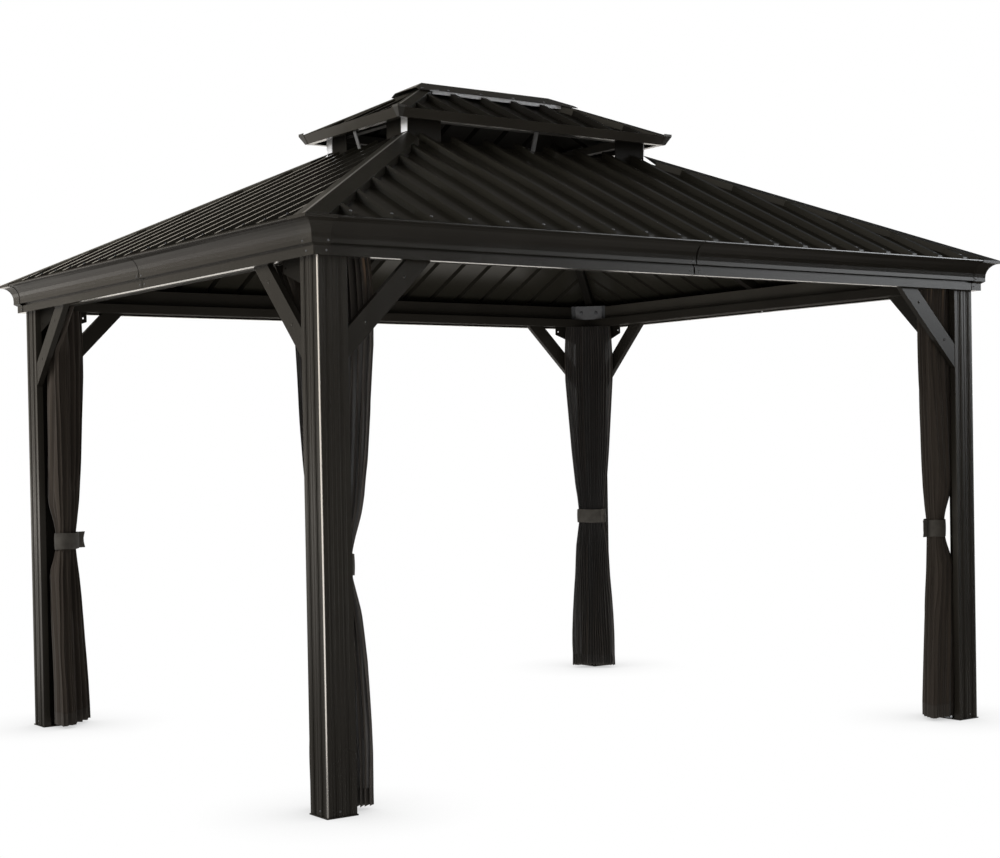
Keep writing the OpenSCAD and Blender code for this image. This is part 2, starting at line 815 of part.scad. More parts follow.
// Outline of a bundle across the corner's diagonal, kept clear of the post's legs
function bundle(deep, back, wide, reach, fold) = [
    for (n = [0:net_sides - 1])
        let (a = 360 * n / net_sides, r = 1 - fold * (1 - cos(net_folds * a)) / 2)
        let (inward = reach - deep + r * cos(a) * (cos(a) > 0 ? deep : back), aside = r * wide * sin(a))
        [clear_of_legs(inward - aside), clear_of_legs(inward + aside)]
];
function clear_of_legs(v) = max(v / sqrt(2), post_leg + net_room);

module net(k) {
    rings = len(net_stations);
    points = [
        for (s = net_stations) for (p = bundle(s[1], s[2], s[3], s[4], s[5])) [p[0], p[1], s[0]]
    ];
    walls = [
        for (j = [0:rings - 2]) for (n = [0:net_sides - 1])
            let (m = (n + 1) % net_sides, low = j * net_sides, high = low + net_sides)
            each [[low + n, high + n, high + m], [low + n, high + m, low + m]]
    ];
    last = (rings - 1) * net_sides;
    foot = [[for (n = [0:net_sides - 1]) n]];
    head = [[for (n = [net_sides - 1:-1:0]) last + n]];
    color(net_colour) corner(k) {
        polyhedron(points, concat(walls, foot, head));
        if (k % 2 == 0) net_spread();
        else mirror([1, -1, 0]) net_spread();
    }
}

// Part of a net's head that spreads along the rail, behind the brace
module net_spread() {
    root = (net_reach - net_deep) / sqrt(2);
    foot = net_head - net_wing_h;
    run_along(beam_w, beam_w + rail_w)
        polygon([[root, foot], [root + rail_w, foot], [net_wing, net_head], [root, net_head]]);
}

module net_ties() {
    color(net_colour) for (k = [0:3]) corner(k) translate([0, 0, tie_z - tie_h / 2])
        linear_extrude(tie_h) difference() {
            around_waist(clear + tie_t);
            around_waist(clear);
        }
}

module around_waist(gap) {
    polygon(bundle(waist_deep + gap, waist_back + gap, net_waist_w + gap, waist_reach + gap, 0));
}

for (k = [0:3]) {
    post(k);
    net(k);
}
for (i = [0:3]) {
    beam(i);
    braces(i);
    cornice(i);
    main_roof(i);
    vent_roof(i);
}
base_plates();
curtain_rails();
gusset_plates();
corner_plates();
cornice_corners();
hip_rafters();
mid_rafters();
hip_caps();
vent_frame();
vent_roof_frame();
vent_legs();
vent_straps();
vent_fascia();
vent_hip_caps();
ridge_cap();
ridge_closure();
net_ties();
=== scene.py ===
import json
import math

import bmesh
import bpy
import numpy as np
from mathutils import Matrix, Vector


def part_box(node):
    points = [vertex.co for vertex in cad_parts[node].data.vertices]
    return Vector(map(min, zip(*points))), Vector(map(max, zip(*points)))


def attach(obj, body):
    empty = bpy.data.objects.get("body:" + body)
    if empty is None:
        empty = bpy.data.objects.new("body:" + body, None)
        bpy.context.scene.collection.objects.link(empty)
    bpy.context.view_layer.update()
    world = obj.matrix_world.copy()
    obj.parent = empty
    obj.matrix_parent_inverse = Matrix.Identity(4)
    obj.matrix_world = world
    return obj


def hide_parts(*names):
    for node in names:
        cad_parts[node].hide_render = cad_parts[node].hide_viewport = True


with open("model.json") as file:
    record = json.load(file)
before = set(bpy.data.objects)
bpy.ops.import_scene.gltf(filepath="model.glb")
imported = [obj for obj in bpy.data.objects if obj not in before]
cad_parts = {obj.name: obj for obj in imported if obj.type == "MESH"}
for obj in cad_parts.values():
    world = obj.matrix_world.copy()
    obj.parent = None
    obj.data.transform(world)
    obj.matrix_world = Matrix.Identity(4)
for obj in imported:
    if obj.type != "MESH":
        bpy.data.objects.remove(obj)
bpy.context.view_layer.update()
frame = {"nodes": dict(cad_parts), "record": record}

SIDES = ("front", "right", "back", "left")
CORNER_SIGNS = {"front_left": (-1, -1), "front_right": (1, -1), "back_right": (1, 1), "back_left": (-1, 1)}
CORNERS = tuple(CORNER_SIGNS)
ROOT_TWO = math.sqrt(2.0)

# Camera, fitted to the photograph: metres, degrees and pixels of a 1000 x 858 frame
FRAME_WIDTH = 1000
SENSOR = 36.0
CAMERA_AT = (-4.7189, -6.7129, 1.2842)
CAMERA_HEADING = 35.327
CAMERA_PITCH = -0.922
CAMERA_ROLL = -1.025
CAMERA_FOCUS = 1764.6
CAMERA_DROP = 44.9

# Measures of the frame that the pieces below are placed by
post_low, post_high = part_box("post_front_left")
net_low, net_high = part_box("net_front_left")
tie_low, tie_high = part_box("net_ties")
cornice_low, cornice_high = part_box("front_cornice")
vent_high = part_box("vent_fascia")[1]
corner_x, corner_y = -post_low.x, -post_low.y
eave_x, eave_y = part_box("right_cornice")[1].x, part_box("back_cornice")[1].y
beam_z = post_high.z
tie_z = (tie_low.z + tie_high.z) / 2


# Shader wiring

class Wire:
    """A shader socket in a formula: an operator on it adds one Math node to its tree."""

    def __init__(self, tree, socket=None):
        self.tree = tree
        self.socket = socket

    def node(self, kind, settings=None, inputs=None, out=0):
        """Any other node: its settings are set first, then the values or links of its sockets."""
        made = self.tree.nodes.new(kind)
        for name, value in (settings or {}).items():
            setattr(made, name, value)
        for name, value in (inputs or {}).items():
            if isinstance(value, Wire):
                self.tree.links.new(value.socket, made.inputs[name])
            else:
                made.inputs[name].default_value = value
        return Wire(self.tree, made.outputs[out])

    def maths(self, operation, first, second=0.0):
        return self.node("ShaderNodeMath", {"operation": operation}, {0: first, 1: second})

    def __add__(self, other):
        return self.maths("ADD", self, other)

    def __sub__(self, other):
        return self.maths("SUBTRACT", self, other)

    def __rsub__(self, other):
        return self.maths("SUBTRACT", other, self)

    def __mul__(self, other):
        return self.maths("MULTIPLY", self, other)

    def __neg__(self):
        return 0.0 - self

    def __abs__(self):
        return self.maths("ABSOLUTE", self)

    __radd__ = __add__
    __rmul__ = __mul__

    def axis(self, letter):
        """One axis of a place or a direction."""
        return self.node("ShaderNodeSeparateXYZ", None, {0: self}, out=letter)

    def eased(self, low, high):
        """0 below low, 1 above high, with a smooth step between."""
        return self.node("ShaderNodeMapRange", {"interpolation_type": "SMOOTHSTEP"},
                         {"Value": self, "From Min": low, "From Max": high})

    def within(self, low, full_from, full_to, high):
        """1 between the two full values, and 0 outside low and high."""
        return self.eased(low, full_from) * (1.0 - self.eased(full_to, high))

    def between(self, colour_a, colour_b):
        """The mix of two colours that this value weighs."""
        return self.node("ShaderNodeMix", {"data_type": "RGBA"},
                         {0: self, 6: as_colour(colour_a), 7: as_colour(colour_b)}, out=2)


def as_colour(value):
    return value if isinstance(value, Wire) else (*value, 1.0)


def new_material(name):
    """A material with an empty tree, its wiring start and its output node."""
    material = bpy.data.materials.new(name)
    material.use_nodes = True
    tree = material.node_tree
    tree.nodes.clear()
    return material, Wire(tree), tree.nodes.new("ShaderNodeOutputMaterial")


def object_place(start):
    return start.node("ShaderNodeTexCoord", out="Object")


def stretched_noise(place, scale, size=1.0, detail=3.0):
    """Noise on coordinates that are scaled first, so that it can run along an axis."""
    place = place.node("ShaderNodeMapping", None, {"Vector": place, "Scale": scale})
    return place.node("ShaderNodeTexNoise", None, {"Vector": place, "Scale": size, "Detail": detail})


def bumped(height, strength, distance):
    return height.node("ShaderNodeBump", None,
                       {"Height": height, "Strength": strength, "Distance": distance})


def principled(start, output, inputs):
    shader = start.node("ShaderNodeBsdfPrincipled", None, inputs)
    start.tree.links.new(shader.socket, output.inputs["Surface"])


# Finishes

# Tones, as linear colours
FRAME_TONE = (0.0165, 0.0148, 0.0122)
FRAME_PALE = (0.0215, 0.0195, 0.0162)
CORNICE_TONE = (0.0128, 0.0115, 0.0094)
# The frame coat painted lighter, as painted light, on the side beams and the vent fascia
LIT_TONE = (0.0400, 0.0364, 0.0307)
LIT_PALE = (0.0490, 0.0448, 0.0376)
# Painted shade: a darker coat for parts in shade, and below it a darker one still for the vent roof's
# underside
SHADE_TONE = (0.0085, 0.0078, 0.0066)
UNDER_SHADE_TONE = (0.0035, 0.0032, 0.0027)
ROOF_TONE = (0.0140, 0.0130, 0.0100)
ROOF_PALE = (0.0185, 0.0172, 0.0134)
# Painted light: the vent fascia's corner covers paler, for the light they catch
COVER_LIT_TONE = (0.0620, 0.0600, 0.0560)
# A pale polished strip: painted highlight
EDGE_HIGHLIGHT_TONE = (0.62, 0.61, 0.60)
BARE_TONES = (0.84, 0.85, 0.88), (0.93, 0.94, 0.96)
CLOSURE_TONES = (0.38, 0.385, 0.40), (0.46, 0.465, 0.48)
STEEL_TONES = (0.090, 0.093, 0.100), (0.120, 0.124, 0.132)
STRAP_TONE = (0.12, 0.121, 0.123)
NET_TONE = (0.0300, 0.0250, 0.0212)
NET_PALE = (0.0490, 0.0405, 0.0335)
# Painted warm light at the heads of the front nets
NET_HEAD_LIGHT = (0.2200, 0.1500, 0.1000)
HEM_TONE = (0.0480, 0.0450, 0.0420)
TIE_TONE = (0.0440, 0.0412, 0.0368)
TIE_PALE = (0.0590, 0.0552, 0.0493)

# Roughness of the coats: satin on the frame, glossier on the roof, dull on the caps and duller inside
SATIN, ROOF_GLOSS, CAP_DULL, INNER_DULL = 0.22, 0.15, 0.30, 0.6
# How far rain marks and clouds change it, and how much duller an underside is
GLOSS_CHANGE, UNDER_DULL = 0.03, 0.12
# Stretch of the coat's clouds and rain marks, of the cloth's streaks and threads, and of the band's ribs
CLOUD_STRETCH, RAIN_STRETCH = (1.0, 1.0, 0.5), (26.0, 26.0, 1.3)
STREAK_STRETCH, THREAD_STRETCH = (34.0, 1.6, 1.0), (210.0, 150.0, 1.0)
RIB_STRETCH, EVEN = (60.0, 60.0, 420.0), (1.0, 1.0, 1.0)
SPANGLE_SCALE = 90.0
# Polished pale strips, a painted highlight: how metallic, how wide on the posts' corners and beside the
# hips, and their soft borders
POLISH, EDGE_WIDE, FOLD_WIDE = 0.9, 0.005, 0.026
CORNER_SOFT, FOLD_SOFT = 0.0005, 0.002
# Height of the cornice's rounded lip, and how steeply it bulges
LIP_HIGH, ROLL_RISE = 0.010, 0.38
# Reach of the vent fascia's corner covers, painted paler as painted light, and the half sizes beyond which
# the vent's corner straps are
VENT_COVER, CORNER_STRAPS = 0.038, (0.2, 0.2)
# Height of a net's hem with its soft border, half width of the seam above it, and where the painted warm
# light at the head starts and is full
HEM_HEIGHT, HEM_SOFT, SEAM_HALF, SEAM_SOFT = 0.075, 0.002, 0.006, 0.002
HEAD_LIGHT_FROM, HEAD_LIGHT_FULL = 1.60, 1.94


def beyond(start, halves):
    """1 near the outer corners: where both |x| and |y| pass the given half sizes."""
    place = object_place(start)
    past_x, past_y = (abs(place.axis(letter)).eased(half - CORNER_SOFT, half + CORNER_SOFT)
                      for letter, half in zip("XY", halves))
    return past_x * past_y


def beside_fold(start, offset):
    """1 on the side slopes' strip along the hips, where |x| - |y| just passes the given offset."""
    place = object_place(start)
    past = abs(place.axis("X")) - abs(place.axis("Y")) - offset
    return past.within(0.0, FOLD_SOFT, FOLD_WIDE - FOLD_SOFT, FOLD_WIDE)


def powder_coat(name, tone, pale_tone, gloss, mirror=0.5, roll=None, covers=None, edges=None, fold=None,
                under=None):
    """Powder coat with cloudy tone and rain marks in its gloss. Roll is a pair of levels between which it
    bulges. Covers and edges are half sizes: beyond them it takes a paler tone of painted light, or a pale
    polished one that paints a highlight. Fold is the offset of the hips along which that highlight strip
    runs, and under the tone of its duller underside: painted light where it is paler, painted shade where
    darker."""
    material, start, output = new_material(name)
    place = object_place(start)
    clouds = stretched_noise(place, CLOUD_STRETCH, 3.0)
    rain = stretched_noise(place, RAIN_STRETCH, detail=4.0)
    colour = clouds.eased(0.35, 0.75).between(tone, pale_tone)
    inputs = {
        "Roughness": gloss + GLOSS_CHANGE * rain.eased(0.35, 0.8) + GLOSS_CHANGE * clouds,
        "Specular IOR Level": mirror,
    }
    if roll:
        low, high = roll
        half = (high - low) / 2
        part = (place.axis("Z") - (low + half)) * (1.0 / half)
        bulge = (ROLL_RISE * half) * start.maths("MAXIMUM", 1.0 - part * part, 0.0)
        inputs["Normal"] = bumped(bulge, 1.0, 1.0)
    # Painted light and shade on downward faces: they take the given underside tone
    if under:
        facing = start.node("ShaderNodeNewGeometry", out="Normal")
        painted_underside_shading = (-facing.axis("Z")).eased(0.0, 0.2)
        colour = painted_underside_shading.between(colour, under)
        inputs["Roughness"] = inputs["Roughness"] + UNDER_DULL * painted_underside_shading
    # Painted light: the corner covers take a paler tone
    if covers:
        colour = beyond(start, covers).between(colour, COVER_LIT_TONE)
    # Painted highlight: a pale polished strip on the posts' corners or beside the hips
    if edges or fold:
        painted_highlight = beyond(start, edges) if edges else beside_fold(start, fold)
        colour = painted_highlight.between(colour, EDGE_HIGHLIGHT_TONE)
        inputs["Metallic"] = POLISH * painted_highlight
    principled(start, output, {"Base Color": colour, **inputs})
    return material


def plate_metal(name, dark_tone, pale_tone, pale_beyond=None):
    """Bare galvanised plate with a soft spangle. Given half sizes, only what is beyond both is pale, and
    the rest has the tone of the straps at mid side."""
    material, start, output = new_material(name)
    spangle = start.node("ShaderNodeTexVoronoi", {"feature": "F1"},
                         {"Vector": object_place(start), "Scale": SPANGLE_SCALE}, out="Color")
    grey = start.node("ShaderNodeRGBToBW", None, {"Color": spangle})
    colour = grey.between(dark_tone, pale_tone)
    if pale_beyond:
        colour = beyond(start, pale_beyond).between(STRAP_TONE, colour)
    principled(start, output, {
        "Base Color": colour,
        "Roughness": 0.42 + 0.12 * grey,
        "Metallic": 0.2,
    })
    return material


def net_mesh(name):
    """Woven net on the cloth UV, in metres: a little open between its threads, streaked up its length,
    with painted warm light at the heads of the front nets, and closed at the hem."""
    material, start, output = new_material(name)
    place = start.node("ShaderNodeUVMap", {"uv_map": "cloth"})
    height = place.axis("Y")
    front = -object_place(start).axis("Y")
    streak = stretched_noise(place, STREAK_STRETCH, detail=4.0)
    weave = stretched_noise(place, THREAD_STRETCH, detail=1.0)
    hem = (-height).eased(-HEM_HEIGHT - HEM_SOFT, -HEM_HEIGHT + HEM_SOFT)
    seam = (-abs(height - HEM_HEIGHT)).eased(-SEAM_HALF, -SEAM_SOFT)
    # Painted light: a warm glow at the heads of the front nets
    painted_head_light = height.eased(HEAD_LIGHT_FROM, HEAD_LIGHT_FULL) * streak.eased(0.57, 0.74) * front.eased(-0.2, 0.2)
    tone = streak.eased(0.3, 0.75).between(NET_TONE, NET_PALE)
    tone = painted_head_light.between(tone, NET_HEAD_LIGHT)
    tone = (0.5 * hem).between(tone, HEM_TONE)
    tone = (0.6 * seam).between(tone, NET_TONE)
    open_share = 0.02 * weave.eased(0.42, 0.66) + 0.03 * streak.eased(0.45, 0.7)
    principled(start, output, {
        "Base Color": tone,
        "Roughness": 0.62,
        "Alpha": 1.0 - open_share * (1.0 - hem),
        "Normal": bumped(weave, 0.10, 0.0008),
        "Specular IOR Level": 0.08,
        "Sheen Weight": 0.10,
        "Sheen Roughness": 0.5,
    })
    return material


def woven_band(name):
    """Close-woven band with a rib along it."""
    material, start, output = new_material(name)
    place = object_place(start)
    rib = stretched_noise(place, RIB_STRETCH, detail=1.0)
    blot = stretched_noise(place, EVEN, 30.0, 2.0)
    principled(start, output, {
        "Base Color": blot.eased(0.3, 0.7).between(TIE_TONE, TIE_PALE),
        "Roughness": 0.75,
        "Normal": bumped(rib, 0.3, 0.0008),
        "Specular IOR Level": 0.15,
        "Sheen Weight": 0.1,
    })
    return material


frame_coat = powder_coat("frame_coat", FRAME_TONE, FRAME_PALE, SATIN)
post_coat = powder_coat("post_coat", FRAME_TONE, FRAME_PALE, SATIN,
                        edges=(corner_x - EDGE_WIDE, corner_y - EDGE_WIDE))
brace_coat = powder_coat("brace_coat", CORNICE_TONE, FRAME_TONE, SATIN, 0.4)
cornice_coat = powder_coat("cornice_coat", CORNICE_TONE, FRAME_TONE, SATIN,
                           roll=(cornice_high.z - LIP_HIGH, cornice_high.z))
# The vent fascia in the lighter tone, with paler corner covers: painted light
vent_coat = powder_coat("vent_coat", LIT_TONE, LIT_PALE, SATIN, 0.45,
                        covers=(vent_high.x - VENT_COVER, vent_high.y - VENT_COVER))
lit_dull_coat = powder_coat("lit_dull_coat", LIT_TONE, LIT_PALE, INNER_DULL, 0.15)
inner_coat = powder_coat("inner_coat", FRAME_TONE, FRAME_PALE, INNER_DULL, 0.12)
shade_coat = powder_coat("shade_coat", SHADE_TONE, FRAME_TONE, INNER_DULL, 0.10)
# The roof panels' underside painted paler: painted light
roof_coat = powder_coat("roof_coat", ROOF_TONE, ROOF_PALE, ROOF_GLOSS, under=ROOF_PALE)
cap_coat = powder_coat("cap_coat", ROOF_TONE, ROOF_PALE, CAP_DULL, 0.22, fold=eave_x - eave_y)
vent_cap_coat = powder_coat("vent_cap_coat", ROOF_TONE, ROOF_PALE, CAP_DULL, 0.22,
                            fold=vent_high.x - vent_high.y)
# The vent roof darker, and its underside darker still: painted shade
vent_roof_coat = powder_coat("vent_roof_coat", SHADE_TONE, ROOF_TONE, CAP_DULL, 0.08, under=UNDER_SHADE_TONE)
bare_metal = plate_metal("bare_metal", *BARE_TONES, pale_beyond=CORNER_STRAPS)
closure_metal = plate_metal("closure_metal", *CLOSURE_TONES)
plate_steel = plate_metal("plate_steel", *STEEL_TONES)
net_cloth = net_mesh("net_cloth")
tie_cloth = woven_band("tie_cloth")

# The record's slots give a node's finish, apart from the nodes that have their own
SLOT_FINISH = {"frame_coat": frame_coat, "roof_coat": roof_coat, "bare_metal": bare_metal}
FINISHED_NODES = (
    (cornice_coat, [side + "_cornice" for side in SIDES]),
    (brace_coat, [side + "_braces" for side in SIDES]),
    (vent_roof_coat, [side + "_vent_roof" for side in SIDES]),
    (post_coat, ["post_" + corner for corner in CORNERS]),
    # The side beams in the lighter coat: painted light
    (lit_dull_coat, ["left_beam", "right_beam"]),
    (inner_coat, ["front_beam", "back_beam", "curtain_rails"]),
    # Painted shade: the darker coat on the rafters, the vent's frame and legs, and the gusset plates
    (shade_coat, ["hip_rafters", "mid_rafters", "vent_frame", "vent_roof_frame", "vent_legs"]),
    (shade_coat, ["gusset_plates"]),
    (cap_coat, ["hip_caps"]),
    (vent_cap_coat, ["vent_hip_caps"]),
    (vent_coat, ["vent_fascia"]),
    (closure_metal, ["ridge_closure"]),
    (plate_steel, ["corner_plates"]),
)
OWN_FINISH = {node: finish for finish, nodes in FINISHED_NODES for node in nodes}

for sub in frame["record"]["subparts"]:
    if sub["material_slot"] in SLOT_FINISH:
        shown = frame["nodes"][sub["node"]]
        shown.data.materials.clear()
        shown.data.materials.append(OWN_FINISH.get(sub["node"], SLOT_FINISH[sub["material_slot"]]))


# Rounded folds: reach of the weld, turns in degrees that count as flat or as a fold, radius and steps
WELD_REACH = 1e-5
FLAT_TURN, FOLD_TURN = 0.5, 35.0
FOLD_ROUND, FOLD_STEPS = 0.0016, 2


def round_edges(shown):
    """Welds a CAD node's loose triangles and rounds its folds, so that they catch the light."""
    shown.modifiers.new("weld", "WELD").merge_threshold = WELD_REACH
    flat = shown.modifiers.new("flat", "DECIMATE")
    flat.decimate_type = "DISSOLVE"
    flat.angle_limit = math.radians(FLAT_TURN)
    bevel = shown.modifiers.new("fold", "BEVEL")
    bevel.width = FOLD_ROUND
    bevel.segments = FOLD_STEPS
    bevel.limit_method = "ANGLE"
    bevel.angle_limit = math.radians(FOLD_TURN)
    even = shown.modifiers.new("even_normals", "WEIGHTED_NORMAL")
    even.mode = "FACE_AREA"
    even.weight = 100
    even.keep_sharp = True


for name in [side + "_cornice" for side in SIDES] + ["vent_fascia"] + ["post_" + c for c in CORNERS]:
    round_edges(frame["nodes"][name])


# Nets and bands

# Outline of a hanging net: height, half width and reach from the post's outer corner
NET_OUTLINE = np.array([
    (0.014, 0.131, 0.250), (0.080, 0.128, 0.250), (0.200, 0.126, 0.246), (0.300, 0.121, 0.242),
    (0.400, 0.114, 0.238), (0.500, 0.106, 0.236), (0.600, 0.100, 0.232), (0.700, 0.094, 0.226),
    (0.770, 0.084, 0.222), (0.834, 0.075, 0.219), (0.910, 0.075, 0.221), (0.970, 0.080, 0.228),
    (1.050, 0.091, 0.235), (1.150, 0.100, 0.239), (1.250, 0.109, 0.242), (1.350, 0.116, 0.244),
    (1.450, 0.123, 0.246), (1.550, 0.130, 0.249), (1.650, 0.137, 0.251), (1.800, 0.138, 0.252),
    (1.900, 0.133, 0.250), (1.958, 0.128, 0.248),
])
NET_FLAT = (3.10, 1.94)
# Depth of the bundle towards the room, towards the post, and towards the post at its band
NET_DEEP, NET_BACK, WAIST_BACK = 0.045, 0.112, 0.044
# Height over which the band draws the cloth in, and how much less deep the bundle is there
WAIST_SPAN, WAIST_SLIM = 0.16, 0.006
# Least distance of the cloth from the posts' outer faces, that of the curtain rail, and room at the head
LEG_CLEAR, RAIL_IN, HEAD_GAP = 0.042, 0.078, 0.001
# Spread of the head along the left side's rail: from which share of the cloth it starts and is full,
# from where to where it runs, from which height to which, and the depth of its folds
WING_START, WING_EASE = 0.15, 0.3
WING_ROOT, WING_REACH = 0.15, 0.42
WING_LOW, WING_HIGH = 1.760, 1.957
WING_FOLD = 0.016
SPREAD = {"front_left": 1.0, "front_right": 0.0, "back_right": 0.0, "back_left": 1.0}
# Change of the half width at the head and at the band, and its share at the hem
HEAD_WIDER = {"front_left": 0.010, "front_right": 0.0, "back_right": 0.0, "back_left": 0.012}
WAIST_WIDER = {"front_left": -0.018, "front_right": 0.0, "back_right": 0.0, "back_left": 0.0}
HEM_SHARE = {"front_left": 0.80, "front_right": 1.0, "back_right": 0.96, "back_left": 1.04}
# Folds: how many, points across each and rows up the net, and the least and most of their widths
PLEATS, PER_PLEAT, ROWS = 19, 14, 96
PLEAT_LEAST, PLEAT_MOST = 0.55, 1.45
# Their depth and its change, how blunt they are, and how far and how often they wander up the net
FOLD_DEPTH, FOLD_VARY, FOLD_BLUNT = 0.76, 0.24, 0.8
SWAY, SWAY_WAVES, DRIFT_KNOTS = 0.05, 3.0, 7


def new_piece(name, points, faces, material):
    """An object made from points and faces, with its material, on the root body."""
    mesh = bpy.data.meshes.new(name)
    mesh.from_pydata([tuple(p) for p in points], [], faces)
    mesh.materials.append(material)
    piece = bpy.data.objects.new(name, mesh)
    bpy.context.scene.collection.objects.link(piece)
    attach(piece, "root")
    return piece


def eased(value):
    value = np.clip(value, 0.0, 1.0)
    return value * value * (3.0 - 2.0 * value)


def soft_noise(rng, count, knots):
    """A smooth run of seeded values from -1 to 1."""
    values = rng.uniform(-1.0, 1.0, knots)
    fine = np.linspace(0.0, 1.0, count) * (knots - 1)
    low = np.clip(fine.astype(int), 0, knots - 2)
    part = eased(fine - low)
    return values[low] * (1.0 - part) + values[low + 1] * part


def outline_at(z):
    """Half width and reach of a hanging net at a height."""
    return [np.interp(z, NET_OUTLINE[:, 0], NET_OUTLINE[:, column]) for column in (1, 2)]


def build_net(corner, seed):
    """One gathered net: a pleated sheet from the rail to the hem, drawn in by its band."""
    rng = np.random.default_rng(seed)
    sx, sy = CORNER_SIGNS[corner]
    heights = np.linspace(net_low.z, net_high.z - HEAD_GAP, ROWS)
    count = PLEATS * PER_PLEAT + 1
    along = np.linspace(0.0, 1.0, count)
    widths = rng.uniform(PLEAT_LEAST, PLEAT_MOST, PLEATS)
    edges = np.concatenate(([0.0], np.cumsum(widths) / widths.sum()))
    wave = np.interp(along, np.linspace(0.0, 1.0, PLEATS + 1), edges)
    depth = FOLD_DEPTH + FOLD_VARY * soft_noise(rng, count, PLEATS + 1)
    drift = [soft_noise(rng, ROWS, DRIFT_KNOTS) for _ in range(3)]
    phase = 2.0 * math.pi * PLEATS * along
    points = []
    for row, z in enumerate(heights):
        half, reach = outline_at(z)
        if z < tie_z:
            half *= 1.0 + (HEM_SHARE[corner] - 1.0) * (tie_z - z) / tie_z
        tight = math.exp(-((z - tie_z) / WAIST_SPAN) ** 2)
        half += HEAD_WIDER[corner] * (1.0 - tight) + WAIST_WIDER[corner] * tight
        deep = NET_DEEP - WAIST_SLIM * tight
        back = NET_BACK + (WAIST_BACK - NET_BACK) * tight
        # Across the bundle from -1 to 1, with the folds as waves between its two sides
        sway = SWAY * drift[0][row] * (1.0 - tight)
        swing = np.sin(math.pi * wave * SWAY_WAVES + 2.0 * drift[1][row])
        across = np.clip(2.0 * wave - 1.0 + sway * swing, -1.0, 1.0)
        fold = np.sin(phase + 0.5 * drift[2][row])
        fold = np.sign(fold) * np.abs(fold) ** FOLD_BLUNT * depth
        sweep = 0.5 * half / PLEATS * np.sin(2.0 * phase) * (1.0 - 0.5 * tight)
        aside = across * half + sweep * (1.0 - np.abs(across) ** 6)
        rim = np.sqrt(np.clip(1.0 - across * across, 0.0, 1.0))
        room_side = reach - deep + deep * rim
        post_side = np.maximum(reach - deep - back * rim, np.abs(aside) + LEG_CLEAR * ROOT_TWO)
        post_side = np.minimum(post_side, room_side)
        out = (room_side + post_side + fold * (room_side - post_side)) / 2
        in_x, in_y = (out - aside) / ROOT_TWO, (out + aside) / ROOT_TWO
        # The head's spread along the rail
        share = np.clip((across - WING_START) / (1.0 - WING_START), 0.0, 1.0)
        pull = np.clip((z - WING_LOW) / (WING_HIGH - WING_LOW), 0.0, 1.0) * eased(share / WING_EASE)
        pull *= SPREAD[corner]
        in_x = in_x + pull * (RAIL_IN + WING_FOLD * fold - in_x)
        in_y = in_y + pull * (WING_ROOT + share * (WING_REACH - WING_ROOT) - in_y)
        points.extend(zip(sx * (corner_x - in_x), sy * (corner_y - in_y), np.full(count, z)))
    faces = [(r * count + n, r * count + n + 1, (r + 1) * count + n + 1, (r + 1) * count + n)
             for r in range(ROWS - 1) for n in range(count - 1)]
    piece = new_piece("net_sheet_" + corner, points, faces, net_cloth)
    cloth = piece.data.uv_layers.new(name="cloth")
    corners = np.empty(len(piece.data.loops), dtype=np.int64)
    piece.data.loops.foreach_get("vertex_index", corners)
    flat = np.stack([(corners % count) / (count - 1) * NET_FLAT[0], heights[corners // count]], axis=1)
    cloth.data.foreach_set("uv", flat.ravel())
    piece.data.polygons.foreach_set("use_smooth", [True] * len(faces))
    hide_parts("net_" + corner)
    return piece


# A band: thickness, levels up it, belly and sag, and the angles of its wrap, which end past the start
TIE_THICK, TIE_LEVELS = 0.0035, 7
TIE_BELLY, TIE_SAG = 0.0016, 0.0015
TIE_TURNS = np.linspace(0.35, 2.0 * math.pi + 0.75, 72)
# Its distance from the cloth: at the start, how much more at the end, and a ripple
TIE_GAP, TIE_LIFT, TIE_RIPPLE = 0.003, 0.0045, 0.0006
# Its free end: length, how much it turns to the room, and depth of its notch
TAIL_LENGTH, TAIL_TURN, TAIL_NOTCH = 0.034, 1.1, 0.011
TAIL_SHARES = (0.25, 0.5, 0.75, 1.0)


def tie_line(corner, seed):
    """Middle line of a band, inward and aside from the post's corner, and the way of its free end."""
    half, reach = outline_at(tie_z)
    half += WAIST_WIDER[corner]
    deep = NET_DEEP - WAIST_SLIM
    line = []
    for n, turn in enumerate(TIE_TURNS):
        gap = TIE_GAP + TIE_LIFT * n / len(TIE_TURNS) + TIE_RIPPLE * math.sin(5.0 * turn + seed)
        depth = (deep if math.cos(turn) > 0 else WAIST_BACK) + gap
        line.append((reach - deep + depth * math.cos(turn), (half + gap) * math.sin(turn)))
    line = np.array(line)
    way = line[-1] - line[-2]
    way = way / np.linalg.norm(way) + np.array([TAIL_TURN, 0.0])
    way = way / np.linalg.norm(way)
    tail = [line[-1] + way * TAIL_LENGTH * share for share in TAIL_SHARES]
    return np.vstack([line, tail]), way


def band_faces(steps, rows):
    """Faces of a band of two skins with closed edges and ends; each step has rows points a skin."""
    faces = []
    ring = 2 * rows
    for n in range(steps - 1):
        a, b = n * ring, (n + 1) * ring
        for m in range(rows - 1):
            faces.append((a + m, b + m, b + m + 1, a + m + 1))
            faces.append((a + rows + m, a + rows + m + 1, b + rows + m + 1, b + rows + m))
        faces.append((a, a + rows, b + rows, b))
        faces.append((a + rows - 1, b + rows - 1, b + 2 * rows - 1, a + 2 * rows - 1))
    for base, flip in ((0, False), ((steps - 1) * ring, True)):
        for m in range(rows - 1):
            end = (base + m, base + m + 1, base + rows + m + 1, base + rows + m)
            faces.append(end[::-1] if flip else end)
    return faces


